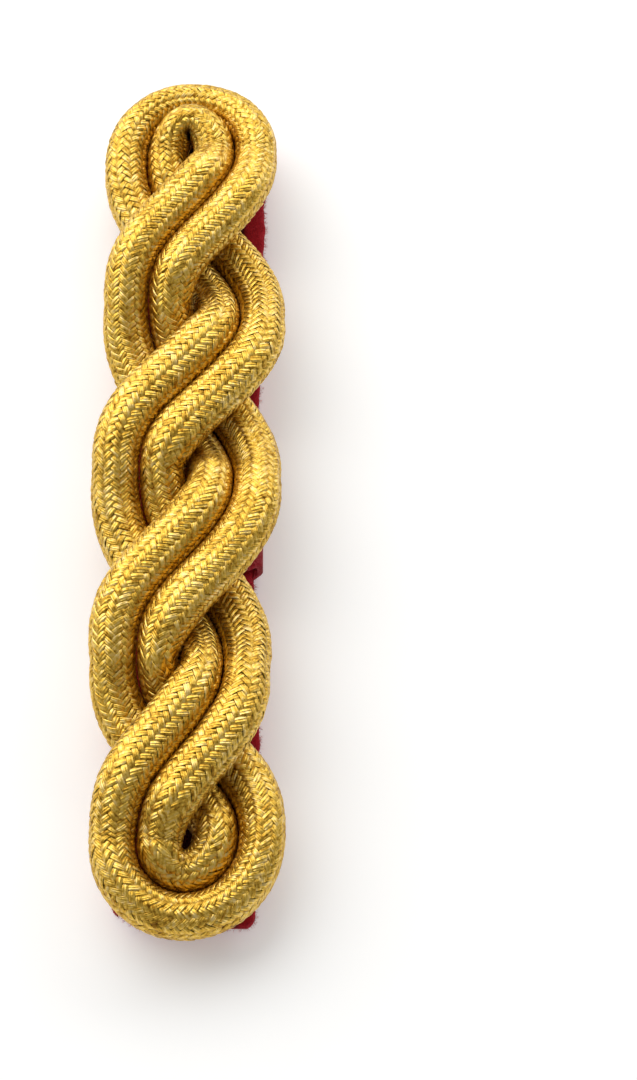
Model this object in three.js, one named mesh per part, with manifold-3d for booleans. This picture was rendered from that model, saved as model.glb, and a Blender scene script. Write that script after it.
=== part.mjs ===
// Twisted cord shoulder knot: two gold braided cords, side by side, twisted into five lobes on a red felt strip,
// with a red leather tongue and its keeper underneath. It lies face up, collar end at +Y, underside at z = 0.
import * as THREE from 'three';
import { mergeVertices } from 'three/addons/utils/BufferGeometryUtils.js';
import Module from 'manifold-3d';

const wasm = await Module();
wasm.setup();

// Driving sizes in millimetres
const knotLength = 137.5;
const cordDiameter = 6.4;
const cordGap = 0.3;
const crossingGap = 0.45;
const seatGap = 0.3;
const feltThickness = 2;
const feltWidth = 19.8;
const feltFootFlare = 0.4;
const feltInset = 0.8;
const feltCornerRadius = 1.8;
const backShift = 0.27;
const tongueThickness = 1.2;
const tongueWidth = 17.7;
const tongueInset = 0.8;
const tongueShoulder = 3.4;
const tongueTipRadius = 5.5;
const tipFlatLength = 19;
const tipBendLength = 16;
const flapInset = 4;
const flapLength = 2.6;
const flapFlare = 0.6;
const puffLength = 8.2;
const puffDepth = 1.1;
const buttonHoleDiameter = 5.8;
const buttonHoleInset = 11.2;
const keeperThickness = 0.9;
const keeperLength = 9.8;
const keeperCornerRadius = 1.6;
const keeperSkewDegrees = 6;
const keeperPress = 1.1;
const keeperSqueeze = 0.9;
const keeperSlide = 6.2;

// One row per lobe, from the collar end down. At is the level where that side is widest, as a share of the knot's
// length from its lower end. Reach runs from the middle line out to the groove between the two cords, in cord
// diameters. Lift says how high the cords lie: 0 on the felt, 1 on top of the other pair.
const lobes = [
  { left: { at: 0.903, reach: 1.17, lift: 0.1 }, right: { at: 0.903, reach: 0.92, lift: 0.45 } },
  { left: { at: 0.706, reach: 1.03, lift: 0.5 }, right: { at: 0.69, reach: 1.09, lift: 0.5 } },
  { left: { at: 0.512, reach: 1.15, lift: 0.5 }, right: { at: 0.499, reach: 0.98, lift: 0.5 } },
  { left: { at: 0.291, reach: 1.1, lift: 0.5 }, right: { at: 0.281, reach: 0.88, lift: 0.5 } },
  { left: { at: 0.092, reach: 1.02, lift: 0.35 }, right: { at: 0.107, reach: 1.17, lift: 0.1 } },
];

// The widths of the outer and the inner cord where each lobe is widest, in cord diameters.
const lobeWidths = [
  { outer: 0.95, inner: 0.93 },
  { outer: 0.98, inner: 0.96 },
  { outer: 1.02, inner: 0.96 },
  { outer: 0.98, inner: 0.87 },
  { outer: 0.98, inner: 0.97 },
];

// One row per crossing, below the lobe of the same number: the cords' pressed width in cord diameters, and how
// suddenly the pairs swing across, from 0 for an even bend to 1 for a late one.
const crossings = [
  { width: 1.04, snap: 0.9 },
  { width: 1.14, snap: 0.4 },
  { width: 1.13, snap: 1 },
  { width: 1.12, snap: 0.6 },
];

// The two end bends: how far the bend's crown lies off the middle line and the cords' width there, in cord
// diameters, the bend's fullness (2 is an ellipse), how close the cords nest, and their lifts.
const ends = {
  top: { across: -0.16, width: 0.875, fullness: 1.95, nest: 0.93, outerLift: 0, innerLift: 0.4 },
  bottom: { across: 0, width: 0.98, fullness: 2.05, nest: 1, outerLift: 0, innerLift: 0 },
};

// How the cords move: the share of a swing they lie level at a crossing, how steeply they pass through the middle
// of a lobe, how their height answers to their width, and how a tight bend presses its inside together.
const crossingRest = 0.34;
const lobeSlope = 1.5;
const pressStiffness = 0.7;
const pinchPower = 4;
const pinchSlack = 1.25;

// Counts of steps and facets
const stepsPerQuarter = 60;
const ringsPerCord = 172;
const ringSides = 12;
const holeSides = 32;
const cornerSteps = 6;
const flapSteps = 4;
const bendSteps = 10;

// Heights, from the surface the knot lies on
const tongueUnderside = keeperThickness + seatGap;
const feltUnderside = tongueUnderside + tongueThickness + seatGap;
const feltFace = feltUnderside + feltThickness;
const cordFloor = feltFace + seatGap;
const keeperRoof = feltFace - keeperPress + seatGap;

// Levels along the knot, with y = 0 at its middle
const levelAt = (share) => (share - 0.5) * knotLength;
const crownInset = (end) => (end.width * cordDiameter) / 2;
const feltTop = knotLength / 2 - crownInset(ends.top) - feltInset;
const feltBottom = -knotLength / 2 + crownInset(ends.bottom) + feltInset;
const tongueTop = feltTop - tongueInset;
const tongueBottom = feltBottom + flapInset;
const buttonHoleY = feltTop - buttonHoleInset;
const keeperY = levelAt((lobes[2].left.at + lobes[2].right.at) / 2) - keeperSlide;
const keeperInner = Math.max(feltWidth / 2 - keeperSqueeze, tongueWidth / 2) + seatGap;

const axisX = new THREE.Vector3(1, 0, 0);
const axisY = new THREE.Vector3(0, 1, 0);
const axisZ = new THREE.Vector3(0, 0, 1);

const feltRed = 0x96101c;
const leatherRed = 0xb92a38;
const cordGold = 0xc9a13a;

function clamp(value) {
  return Math.min(1, Math.max(0, value));
}

function smooth(t) {
  const c = clamp(t);
  return c * c * (3 - 2 * c);
}

function mix(a, b, t) {
  return a + (b - a) * t;
}

// The share of the way across at the share t of the way down from one widest level to the next.
function swing(t, snap) {
  const late = t ** 3 * (10 - 15 * t + 6 * t * t);
  return mix(smooth(t), late, snap);
}

// Where a pair is widest in each lobe. The first pair starts on the right of the top lobe, the second on its left.
function turningPoints(startsRight) {
  return lobes.map((lobe, k) => {
    const onRight = startsRight === (k % 2 === 0);
    const side = onRight ? lobe.right : lobe.left;
    const { outer, inner } = lobeWidths[k];
    return {
      x: side.reach * cordDiameter * (onRight ? 1 : -1),
      y: levelAt(side.at),
      east: { width: onRight ? outer : inner, lift: side.lift },
      west: { width: onRight ? inner : outer, lift: side.lift },
      nest: 1,
      slope: k > 0 && k < lobes.length - 1 ? lobeSlope : 0,
    };
  });
}

function mixCord(a, b, t) {
  return { width: mix(a.width, b.width, t), lift: mix(a.lift, b.lift, t) };
}

// A quarter of an end bend, from its crown to the pair's first or last widest point.
function endBend(end, crownSign, turn) {
  const outerIsEast = turn.x > 0;
  const outer = { width: end.width, lift: end.outerLift };
  const inner = { width: end.width, lift: end.innerLift };
  const east = outerIsEast ? outer : inner;
  const west = outerIsEast ? inner : outer;
  const halfSpace = ((end.width * cordDiameter + cordGap) / 2) * end.nest;
  const crownY = crownSign * (knotLength / 2 - crownInset(end) - halfSpace);
  const crownX = end.across * cordDiameter;
  const stations = [];
  for (let i = 0; i <= stepsPerQuarter; i += 1) {
    const angle = (i / stepsPerQuarter) * (Math.PI / 2);
    const t = smooth(i / stepsPerQuarter);
    stations.push({
      x: mix(crownX, turn.x, Math.abs(Math.sin(angle)) ** (2 / end.fullness)),
      y: mix(turn.y, crownY, Math.abs(Math.cos(angle)) ** (2 / end.fullness)),
      east: mixCord(east, turn.east, t),
      west: mixCord(west, turn.west, t),
      nest: mix(end.nest, 1, t),
    });
  }
  return stations;
}

// A rise from 0 to 1 that starts level and ends at the given slope.
function rise(t, slope) {
  const c = clamp(t);
  return smooth(c) + slope * (c ** 3 - c ** 2);
}

// A pair's groove line between two lobes. The pair that comes from the right passes over the other.
function crossOver(from, to, crossing) {
  const isOver = from.x > to.x;
  const pressed = { width: crossing.width, lift: isOver ? 1 : 0 };
  const stations = [];
  for (let i = 1; i < 2 * stepsPerQuarter; i += 1) {
    const t = i / (2 * stepsPerQuarter);
    const away = Math.abs(2 * t - 1);
    const near = t < 0.5 ? from : to;
    const release = rise((away - crossingRest) / (1 - crossingRest), near.slope);
    stations.push({
      x: mix(from.x, to.x, swing(t, crossing.snap)),
      y: mix(from.y, to.y, t),
      east: mixCord(pressed, near.east, release),
      west: mixCord(pressed, near.west, release),
      nest: 1,
    });
  }
  return stations;
}

// One pair's stations, from the crown of the top lobe down to that of the bottom lobe.
function pairStations(startsRight) {
  const turns = turningPoints(startsRight);
  const last = turns.length - 1;
  const route = [...endBend(ends.top, 1, turns[0])];
  for (let k = 0; k < last; k += 1) {
    route.push(...crossOver(turns[k], turns[k + 1], crossings[k]));
    if (k + 1 < last) route.push(turns[k + 1]);
  }
  route.push(...endBend(ends.bottom, -1, turns[last]).reverse());
  return route;
}

// One cord of a pair: the stations of its middle line, beside the groove, with its half width and half height.
function cordStations(route, eastSide) {
  return route.map((station, i) => {
    const before = route[Math.max(0, i - 1)];
    const after = route[Math.min(route.length - 1, i + 1)];
    const run = Math.hypot(after.x - before.x, after.y - before.y);
    const normalX = -(after.y - before.y) / run;
    const normalY = (after.x - before.x) / run;
    const cord = eastSide ? station.east : station.west;
    const width = cord.width * cordDiameter;
    const height = cordDiameter * (1 / cord.width) ** pressStiffness;
    const offset = ((width + cordGap) / 2) * station.nest * (eastSide ? 1 : -1);
    const z = cordFloor + height / 2 + cord.lift * (height + crossingGap);
    return {
      point: new THREE.Vector3(station.x + normalX * offset, station.y + normalY * offset, z),
      halfWidth: width / 2,
      halfHeight: height / 2,
    };
  });
}

// Both halves of a cord as one run that starts and ends under the third crossing, where its cut ends meet.
function cordRun(firstHalf, secondHalf) {
  const loop = [...firstHalf.slice(0, -1), ...secondHalf.slice().reverse().slice(0, -1)];
  const quartersToThird = 6;
  const underThird = secondHalf[stepsPerQuarter * quartersToThird];
  const start = loop.indexOf(underThird);
  return [...loop.slice(start), ...loop.slice(0, start), underThird];
}

// The same run again, in equal steps along its length.
function evenSteps(run, steps, endGap) {
  const along = [0];
  for (let i = 1; i < run.length; i += 1) {
    along.push(along[i - 1] + run[i].point.distanceTo(run[i - 1].point));
  }
  const total = along[along.length - 1];
  const stations = [];
  let k = 1;
  for (let i = 0; i <= steps; i += 1) {
    const at = mix(endGap / 2, total - endGap / 2, i / steps);
    while (along[k] < at) k += 1;
    const t = (at - along[k - 1]) / (along[k] - along[k - 1]);
    stations.push({
      point: run[k - 1].point.clone().lerp(run[k].point, t),
      halfWidth: mix(run[k - 1].halfWidth, run[k].halfWidth, t),
      halfHeight: mix(run[k - 1].halfHeight, run[k].halfHeight, t),
    });
  }
  return stations;
}

// The frame of each station: sideways is level, up is square to the cord, and bend is the curvature in plan.
function addFrames(stations) {
  const last = stations.length - 1;
  stations.forEach((station, i) => {
    const before = stations[Math.max(0, i - 1)].point;
    const after = stations[Math.min(last, i + 1)].point;
    station.tangent = after.clone().sub(before).normalize();
    station.side = new THREE.Vector3(-station.tangent.y, station.tangent.x, 0).normalize();
    station.up = station.tangent.clone().cross(station.side);
    if (station.up.z < 0) station.up.negate();
  });
  stations.forEach((station, i) => {
    const before = stations[Math.max(0, i - 1)];
    const after = stations[Math.min(last, i + 1)];
    const run = after.point.distanceTo(before.point);
    station.bend = after.tangent.clone().sub(before.tangent).dot(station.side) / run;
  });
  return stations;
}

// How far out a point of the section lies once the inside of a tight bend has pressed it together.
function pinched(across, bend) {
  const crowding = pinchSlack * across * bend;
  return crowding <= 0 ? across : across / (1 + crowding ** pinchPower) ** (1 / pinchPower);
}

// A cord as a closed tube: a unit cylinder whose rings are carried to the stations.
function cordGeometry(run) {
  const stations = addFrames(evenSteps(run, ringsPerCord, cordGap));
  const tube = closedShell(new THREE.CylinderGeometry(1, 1, 1, ringSides, ringsPerCord));
  const position = tube.getAttribute('position');
  const spot = new THREE.Vector3();
  for (let i = 0; i < position.count; i += 1) {
    const station = stations[Math.round((position.getY(i) + 0.5) * ringsPerCord)];
    const across = pinched(position.getX(i) * station.halfWidth, station.bend);
    const above = position.getZ(i) * station.halfHeight;
    spot.copy(station.point).addScaledVector(station.side, across).addScaledVector(station.up, above);
    position.setXYZ(i, spot.x, spot.y, spot.z);
  }
  return facingOut(tube);
}

function closedShell(geometry) {
  geometry.deleteAttribute('normal');
  geometry.deleteAttribute('uv');
  return mergeVertices(geometry);
}

// Turns every face round if the shell is inside out.
function facingOut(geometry) {
  const index = geometry.getIndex();
  const position = geometry.getAttribute('position');
  const [a, b, c] = [new THREE.Vector3(), new THREE.Vector3(), new THREE.Vector3()];
  let volume = 0;
  for (let i = 0; i < index.count; i += 3) {
    a.fromBufferAttribute(position, index.getX(i));
    b.fromBufferAttribute(position, index.getX(i + 1));
    c.fromBufferAttribute(position, index.getX(i + 2));
    volume += a.dot(b.cross(c));
  }
  if (volume < 0) index.array.reverse();
  geometry.computeVertexNormals();
  return geometry;
}

function solidOf(geometry) {
  const shell = closedShell(geometry.clone());
  const vertProperties = new Float32Array(shell.getAttribute('position').array);
  const triVerts = new Uint32Array(shell.getIndex().array);
  return new wasm.Manifold(new wasm.Mesh({ numProp: 3, vertProperties, triVerts }));
}

function geometryOf(solid) {
  const mesh = solid.getMesh();
  const geometry = new THREE.BufferGeometry();
  geometry.setAttribute('position', new THREE.BufferAttribute(mesh.vertProperties, 3));
  geometry.setIndex(new THREE.BufferAttribute(mesh.triVerts, 1));
  geometry.computeVertexNormals();
  return geometry;
}

// An outline in plan, raised from one height to another.
function upright(shape, bottom, top) {
  const options = { depth: top - bottom, bevelEnabled: false, curveSegments: cornerSteps };
  return new THREE.ExtrudeGeometry(shape, options).translate(0, 0, bottom);
}

// A profile drawn along another plane's axes, and run along the third.
function extruded(shape, depth, along, above, through) {
  const geometry = new THREE.ExtrudeGeometry(shape, { depth, bevelEnabled: false, curveSegments: cornerSteps });
  return geometry.applyMatrix4(new THREE.Matrix4().makeBasis(along, above, through));
}

function buttonHole(bottom, top) {
  const radius = buttonHoleDiameter / 2;
  const cutter = new THREE.CylinderGeometry(radius, radius, top - bottom, holeSides);
  cutter.rotateX(Math.PI / 2);
  return solidOf(cutter.translate(0, buttonHoleY, (top + bottom) / 2));
}

// The felt strip, a little wider at its foot, with rounded corners. The keeper presses it thinner and narrower.
function feltGeometry() {
  const [head, foot, round] = [feltWidth / 2, (feltWidth + feltFootFlare) / 2, feltCornerRadius];
  const flareTop = levelAt(0.5);
  const flareMiddle = levelAt(lobes[3].left.at);
  const outline = new THREE.Shape();
  outline.moveTo(-foot + round, feltBottom);
  outline.lineTo(foot - round, feltBottom);
  outline.quadraticCurveTo(foot, feltBottom, foot, feltBottom + round);
  outline.bezierCurveTo(foot, flareMiddle, head, flareMiddle, head, flareTop);
  outline.lineTo(head, feltTop - round);
  outline.quadraticCurveTo(head, feltTop, head - round, feltTop);
  outline.lineTo(-head + round, feltTop);
  outline.quadraticCurveTo(-head, feltTop, -head, feltTop - round);
  outline.lineTo(-head, flareTop);
  outline.bezierCurveTo(-head, flareMiddle, -foot, flareMiddle, -foot, feltBottom + round);
  outline.quadraticCurveTo(-foot, feltBottom, -foot + round, feltBottom);
  const slab = solidOf(upright(outline, feltUnderside, feltFace));
  const hole = buttonHole(feltUnderside - feltThickness, feltFace + feltThickness);
  return geometryOf(slab.subtract(hole).subtract(solidOf(keeperDent())));
}

// The space over the felt and beside it that the keeper presses into.
function keeperDent() {
  const [outside, inside] = [keeperInner + 2 * keeperThickness, keeperInner - seatGap];
  const [low, high, pressed] = [tongueUnderside, cordFloor, feltFace - keeperPress];
  const dent = new THREE.Shape();
  dent.moveTo(-outside, low);
  dent.lineTo(-inside, low);
  dent.lineTo(-inside, pressed);
  dent.lineTo(inside, pressed);
  dent.lineTo(inside, low);
  dent.lineTo(outside, low);
  dent.lineTo(outside, high);
  dent.lineTo(-outside, high);
  return askew(dent, keeperLength + 2 * seatGap);
}

// The tongue's underside along the knot. The tip lies down on the surface, the sewn end swells between its two
// seams, and the flap beyond them hangs down.
function tongueHeight(y) {
  const seam = tongueBottom + flapLength;
  const puff = clamp((y - seam) / puffLength);
  const puffDrop = puffDepth * Math.sin(Math.PI * puff) ** 2;
  const flapDrop = tongueUnderside * smooth((seam - y) / flapLength);
  const tipDrop = tongueUnderside * smooth((y - (tongueTop - tipFlatLength - tipBendLength)) / tipBendLength);
  return tongueUnderside - puffDrop - flapDrop - tipDrop;
}

// The levels where the tongue's line bends, from the flap up to the tip.
function tongueStops() {
  const seam = tongueBottom + flapLength;
  const bendStart = tongueTop - tipFlatLength - tipBendLength;
  const stops = [];
  for (let i = 0; i < flapSteps; i += 1) stops.push(mix(tongueBottom, seam, i / flapSteps));
  for (let i = 0; i <= bendSteps; i += 1) stops.push(seam + (puffLength * i) / bendSteps);
  for (let i = 0; i <= bendSteps; i += 1) stops.push(bendStart + (tipBendLength * i) / bendSteps);
  return [...stops, tongueTop + tongueThickness];
}

// The tongue: a strip bent to that line, then trimmed to its outline and holed.
function tongueGeometry() {
  const reach = tongueWidth / 2 + flapFlare;
  const stops = tongueStops();
  const profile = new THREE.Shape();
  profile.moveTo(stops[0], tongueHeight(stops[0]));
  stops.slice(1).forEach((y) => profile.lineTo(y, tongueHeight(y)));
  stops.reverse().forEach((y) => profile.lineTo(y, tongueHeight(y) + tongueThickness));
  const strip = extruded(profile, 2 * reach, axisY, axisZ, axisX).translate(-reach, 0, 0);
  const trim = solidOf(upright(tongueOutline(), -tongueThickness, feltFace));
  return geometryOf(solidOf(strip).intersect(trim).subtract(buttonHole(-tongueThickness, feltFace)));
}

// The tongue in plan: a tip between two sloping shoulders of unequal length, and an end that flares a little.
function tongueOutline() {
  const half = tongueWidth / 2;
  const seam = tongueBottom + flapLength;
  const [tip, slope] = [tongueTipRadius / 2, tongueShoulder];
  const outline = new THREE.Shape();
  outline.moveTo(-half - flapFlare, tongueBottom);
  outline.lineTo(half + flapFlare, tongueBottom);
  outline.lineTo(half, seam);
  outline.lineTo(half, tongueTop - slope);
  outline.quadraticCurveTo(half - slope, tongueTop - slope / 2, tip, tongueTop);
  outline.lineTo(-tip, tongueTop);
  outline.quadraticCurveTo(-half + slope / 2, tongueTop, -half, tongueTop - 2 * slope);
  outline.lineTo(-half, seam);
  outline.lineTo(-half - flapFlare, tongueBottom);
  return outline;
}

// A rounded rectangle about the middle line, between two heights.
function bandOutline(target, half, bottom, top, round) {
  target.moveTo(-half + round, bottom);
  target.lineTo(half - round, bottom);
  target.quadraticCurveTo(half, bottom, half, bottom + round);
  target.lineTo(half, top - round);
  target.quadraticCurveTo(half, top, half - round, top);
  target.lineTo(-half + round, top);
  target.quadraticCurveTo(-half, top, -half, top - round);
  target.lineTo(-half, bottom + round);
  target.quadraticCurveTo(-half, bottom, -half + round, bottom);
  return target;
}

// A profile across the knot, run along it at the keeper's place and skewed as the keeper is.
function askew(profile, length) {
  const skew = Math.tan(THREE.MathUtils.degToRad(keeperSkewDegrees));
  const across = new THREE.Vector3(1, -skew, 0);
  const bar = extruded(profile, length, across, axisZ, axisY).translate(0, keeperY - length / 2, 0);
  return facingOut(closedShell(bar));
}

// The keeper: a flat leather loop round the felt and the tongue, a little askew as it is worn.
function keeperGeometry() {
  const top = keeperRoof + keeperThickness;
  const band = bandOutline(new THREE.Shape(), keeperInner + keeperThickness, 0, top, keeperCornerRadius);
  const innerRound = keeperCornerRadius - keeperThickness;
  band.holes.push(bandOutline(new THREE.Path(), keeperInner, keeperThickness, keeperRoof, innerRound));
  return askew(band, keeperLength);
}

function piece(name, geometry, color, roughness, metalness) {
  const mesh = new THREE.Mesh(geometry, new THREE.MeshStandardMaterial({ color, roughness, metalness }));
  mesh.name = name;
  return mesh;
}

// A piece of the back, which sits a little to one side of the cords' middle line.
function backPiece(name, geometry, color, roughness) {
  return piece(name, geometry.translate(backShift, 0, 0), color, roughness, 0);
}

const rightPair = pairStations(true);
const leftPair = pairStations(false);
const outerRun = cordRun(cordStations(rightPair, true), cordStations(leftPair, false));
const innerRun = cordRun(cordStations(rightPair, false), cordStations(leftPair, true));

const knot = new THREE.Group();
knot.add(
  piece('outer_cord', cordGeometry(outerRun), cordGold, 0.38, 0.75),
  piece('inner_cord', cordGeometry(innerRun), cordGold, 0.38, 0.75),
  backPiece('felt_backing', feltGeometry(), feltRed, 0.95),
  backPiece('leather_tongue', tongueGeometry(), leatherRed, 0.6),
  backPiece('keeper_band', keeperGeometry(), leatherRed, 0.6),
);

// The origin is the middle of the knot's footprint, on the surface it lies on.
const box = new THREE.Box3().setFromObject(knot);
const middle = box.getCenter(new THREE.Vector3());
knot.position.set(-middle.x, -middle.y, -box.min.z);

export default knot;
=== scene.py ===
# Twisted cord shoulder knot: gold braid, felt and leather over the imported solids.
import math

import bmesh
import bpy
import numpy as np
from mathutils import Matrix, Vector


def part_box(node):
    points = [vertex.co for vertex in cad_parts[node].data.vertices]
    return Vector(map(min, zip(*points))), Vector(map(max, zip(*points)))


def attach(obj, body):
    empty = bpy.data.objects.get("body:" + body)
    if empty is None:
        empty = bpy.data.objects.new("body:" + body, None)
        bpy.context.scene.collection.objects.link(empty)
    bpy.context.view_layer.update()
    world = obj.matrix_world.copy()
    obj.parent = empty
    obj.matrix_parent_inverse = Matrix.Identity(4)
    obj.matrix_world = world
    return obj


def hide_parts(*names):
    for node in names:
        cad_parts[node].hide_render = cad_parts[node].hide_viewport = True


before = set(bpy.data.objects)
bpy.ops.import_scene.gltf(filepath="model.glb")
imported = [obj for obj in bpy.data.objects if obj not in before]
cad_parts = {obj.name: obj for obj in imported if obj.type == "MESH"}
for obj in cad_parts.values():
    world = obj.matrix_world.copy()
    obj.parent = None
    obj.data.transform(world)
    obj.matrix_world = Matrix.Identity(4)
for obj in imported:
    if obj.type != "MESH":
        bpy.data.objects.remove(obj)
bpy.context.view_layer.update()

mm = 0.001
scene = bpy.context.scene


def addObject(name, data):
    item = bpy.data.objects.new(name, data)
    scene.collection.objects.link(item)
    return item


# The camera stands where the photographer did: the knot lies in the left half of the picture.
shot = {
    "target": (18.7, -5.2, 2.0),  # millimetres
    "distance": 504,
    "elevation": 64,  # degrees above the table
    "lens": 115,
    "filmHeight": 36,
    "clipStart": 0.01,
}


def addCamera():
    lean = math.radians(shot["elevation"])
    back = Vector((0, -math.cos(lean), math.sin(lean)))
    data = bpy.data.cameras.new("tableCamera")
    data.sensor_fit, data.sensor_height = "VERTICAL", shot["filmHeight"]
    data.lens, data.clip_start = shot["lens"], shot["clipStart"]
    camera = addObject("tableCamera", data)
    camera.location = Vector(shot["target"]) * mm + back * shot["distance"] * mm
    camera.rotation_euler = back.to_track_quat("Z", "Y").to_euler()
    scene.camera = camera


addCamera()
print("camera placed")


# What a node puts out. Arithmetic on it adds Math nodes to its tree.
class Field:
    def __init__(self, tree, socket):
        self.tree, self.socket = tree, socket

    def __add__(self, other):
        return mathNode(self.tree, "ADD", self, other)

    def __sub__(self, other):
        return mathNode(self.tree, "SUBTRACT", self, other)

    def __rsub__(self, other):
        return mathNode(self.tree, "SUBTRACT", other, self)

    def __mul__(self, other):
        return mathNode(self.tree, "MULTIPLY", self, other)

    def __truediv__(self, other):
        return mathNode(self.tree, "DIVIDE", self, other)

    def __pow__(self, other):
        return mathNode(self.tree, "POWER", self, other)

    def __abs__(self):
        return mathNode(self.tree, "ABSOLUTE", self)


def feed(tree, socket, value):
    if isinstance(value, Field):
        tree.links.new(value.socket, socket)
    elif socket.type == "RGBA" and len(value) == 3:
        socket.default_value = (*value, 1)
    else:
        socket.default_value = value


def addNode(tree, kind, values=None, **settings):
    node = tree.nodes.new(kind)
    for name, value in settings.items():
        setattr(node, name, value)
    for socket, value in (values or {}).items():
        feed(tree, node.inputs[socket], value)
    return node


def fieldOf(tree, kind, values=None, output=0, **settings):
    return Field(tree, addNode(tree, kind, values, **settings).outputs[output])


def mathNode(tree, operation, *values):
    return fieldOf(tree, "ShaderNodeMath", dict(enumerate(values)), operation=operation)


def vectorSum(tree, first, second):
    return fieldOf(tree, "ShaderNodeVectorMath", {0: first, 1: second}, operation="ADD")


def scaledVector(tree, vector, scale):
    return fieldOf(tree, "ShaderNodeVectorMath", {0: vector, "Scale": scale}, operation="SCALE")


def vectorOf(tree, x=0, y=0, z=0):
    return fieldOf(tree, "ShaderNodeCombineXYZ", {0: x, 1: y, 2: z})


def partsOf(tree, vector):
    return [Field(tree, part) for part in addNode(tree, "ShaderNodeSeparateXYZ", {0: vector}).outputs]


# A node group. Its inputs and outputs are given by name and kind.
def newTree(name, kind, inputs, outputs):
    tree = bpy.data.node_groups.new(name, kind)
    for way, sockets in (("INPUT", inputs), ("OUTPUT", outputs)):
        for label, socketKind in sockets.items():
            tree.interface.new_socket(label, in_out=way, socket_type="NodeSocket" + socketKind)
    given = addNode(tree, "NodeGroupInput").outputs
    return tree, {socket.name: Field(tree, socket) for socket in given if socket.name}


# A geometry tree with one input for each of the values that it will be given.
def startTree(name, values):
    kinds = {label: {int: "Int", float: "Float"}.get(type(value), "Material") for label, value in values.items()}
    return newTree(name, "GeometryNodeTree", {"Geometry": "Geometry", **kinds}, {"Geometry": "Geometry"})


def endTree(tree, geometry, material, soft=True):
    geometry = fieldOf(tree, "GeometryNodeRealizeInstances", {"Geometry": geometry})
    if soft:
        geometry = fieldOf(tree, "GeometryNodeSetShadeSmooth", {"Geometry": geometry, "Shade Smooth": True})
    done = fieldOf(tree, "GeometryNodeSetMaterial", {"Geometry": geometry, "Material": material})
    addNode(tree, "NodeGroupOutput", {"Geometry": done})
    return tree


def storeFloats(tree, geometry, domain="POINT", **values):
    for name, value in values.items():
        geometry = fieldOf(tree, "GeometryNodeStoreNamedAttribute", {
            "Geometry": geometry, "Name": name, "Value": value}, data_type="FLOAT", domain=domain)
    return geometry


def readStored(tree, name, kind="FLOAT"):
    return fieldOf(tree, "GeometryNodeInputNamedAttribute", {"Name": name}, "Attribute", data_type=kind)


def randomFloat(tree, seed, low=0.0, high=1.0):
    return fieldOf(tree, "FunctionNodeRandomValue", {2: low, 3: high, "Seed": seed}, 1, data_type="FLOAT")


def randomVector(tree, seed, low, high):
    return fieldOf(tree, "FunctionNodeRandomValue", {0: low, 1: high, "Seed": seed}, data_type="FLOAT_VECTOR")


def curveOf(tree, inputs):
    return fieldOf(tree, "GeometryNodeMeshToCurve", {"Mesh": inputs["Geometry"]})


def bentLine(tree, start, middle, end, steps):
    return fieldOf(tree, "GeometryNodeCurveQuadraticBezier", {
        "Resolution": steps, "Start": start, "Middle": middle, "End": end})


def roundThread(tree, curve, radius, sides):
    ring = fieldOf(tree, "GeometryNodeCurvePrimitiveCircle", {"Resolution": sides, "Radius": radius}, mode="RADIUS")
    return fieldOf(tree, "GeometryNodeCurveToMesh", {"Curve": curve, "Profile Curve": ring, "Fill Caps": True})


def evaluatedMesh(source):
    graph = bpy.context.evaluated_depsgraph_get()
    return bpy.data.meshes.new_from_object(source.evaluated_get(graph), depsgraph=graph)


# Runs a geometry tree on an object and keeps the result as a plain mesh.
def bakeTree(source, tree, values, name):
    modifier = source.modifiers.new(tree.name, "NODES")
    modifier.node_group = tree
    for item in tree.interface.items_tree:
        if item.in_out == "INPUT" and item.name in values:
            modifier[item.identifier] = values[item.name]
    source.update_tag()
    mesh = evaluatedMesh(source)
    mesh.name = name
    source.modifiers.remove(modifier)
    return addObject(name, mesh)


# Lines of edges, which can carry a vector at each point.
def lineObject(name, lines, vectors=None):
    places, edges = [], []
    for line in lines:
        edges += [(len(places) + i, len(places) + i + 1) for i in range(len(line) - 1)]
        places += np.asarray(line).tolist()
    mesh = bpy.data.meshes.new(name)
    mesh.from_pydata(places, edges, [])
    for label, vector in (vectors or {}).items():
        attribute = mesh.attributes.new(label, "FLOAT_VECTOR", "POINT")
        attribute.data.foreach_set("vector", vector.astype(np.float32).ravel())
    return addObject(name, mesh)


# The named lengths of a table of sizes, in metres.
def inMetres(sizes, *names):
    return {name: sizes[name] * mm for name in names}


def smoothStep(t):
    c = np.clip(t, 0, 1)
    return c * c * (3 - 2 * c)


def mix(a, b, t):
    return a + (b - a) * t


# The cords' route, by the same rule as the solids and with their sizes, but for one: the right side of the fourth
# lobe reaches 0.88 there, and 0.8 here, as in the photograph. Lengths are in millimetres.
knot = {
    "length": 137.5,
    "cordDiameter": 6.4,
    "cordGap": 0.3,
    "crossingGap": 0.45,
    "cordFloor": 5.0,
    "crossingRest": 0.34,
    "lobeSlope": 1.5,
    "pressStiffness": 0.7,
    "pinchPower": 5,
    "pinchSlack": 1.08,
    "stepsPerQuarter": 60,
    # one row per lobe, from the collar end: level, reach and lift on the left, then on the right
    "lobes": [
        ((0.903, 1.17, 0.1), (0.903, 0.92, 0.45)),
        ((0.706, 1.03, 0.5), (0.69, 1.09, 0.5)),
        ((0.512, 1.15, 0.5), (0.499, 0.98, 0.5)),
        ((0.291, 1.1, 0.5), (0.281, 0.8, 0.5)),
        ((0.092, 1.02, 0.35), (0.107, 1.17, 0.1)),
    ],
    # widths of the outer and the inner cord in each lobe
    "widths": [(0.95, 0.93), (0.98, 0.96), (1.02, 0.96), (0.98, 0.87), (0.98, 0.97)],
    # width and snap of each crossing
    "crossings": [(1.04, 0.9), (1.14, 0.4), (1.13, 1), (1.12, 0.6)],
    # crown's place across, width, fullness, nesting, lifts of the outer and the inner cord
    "topEnd": (-0.16, 0.875, 1.95, 0.93, 0, 0.4),
    "bottomEnd": (0, 0.98, 2.05, 1, 0, 0),
}


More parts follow.
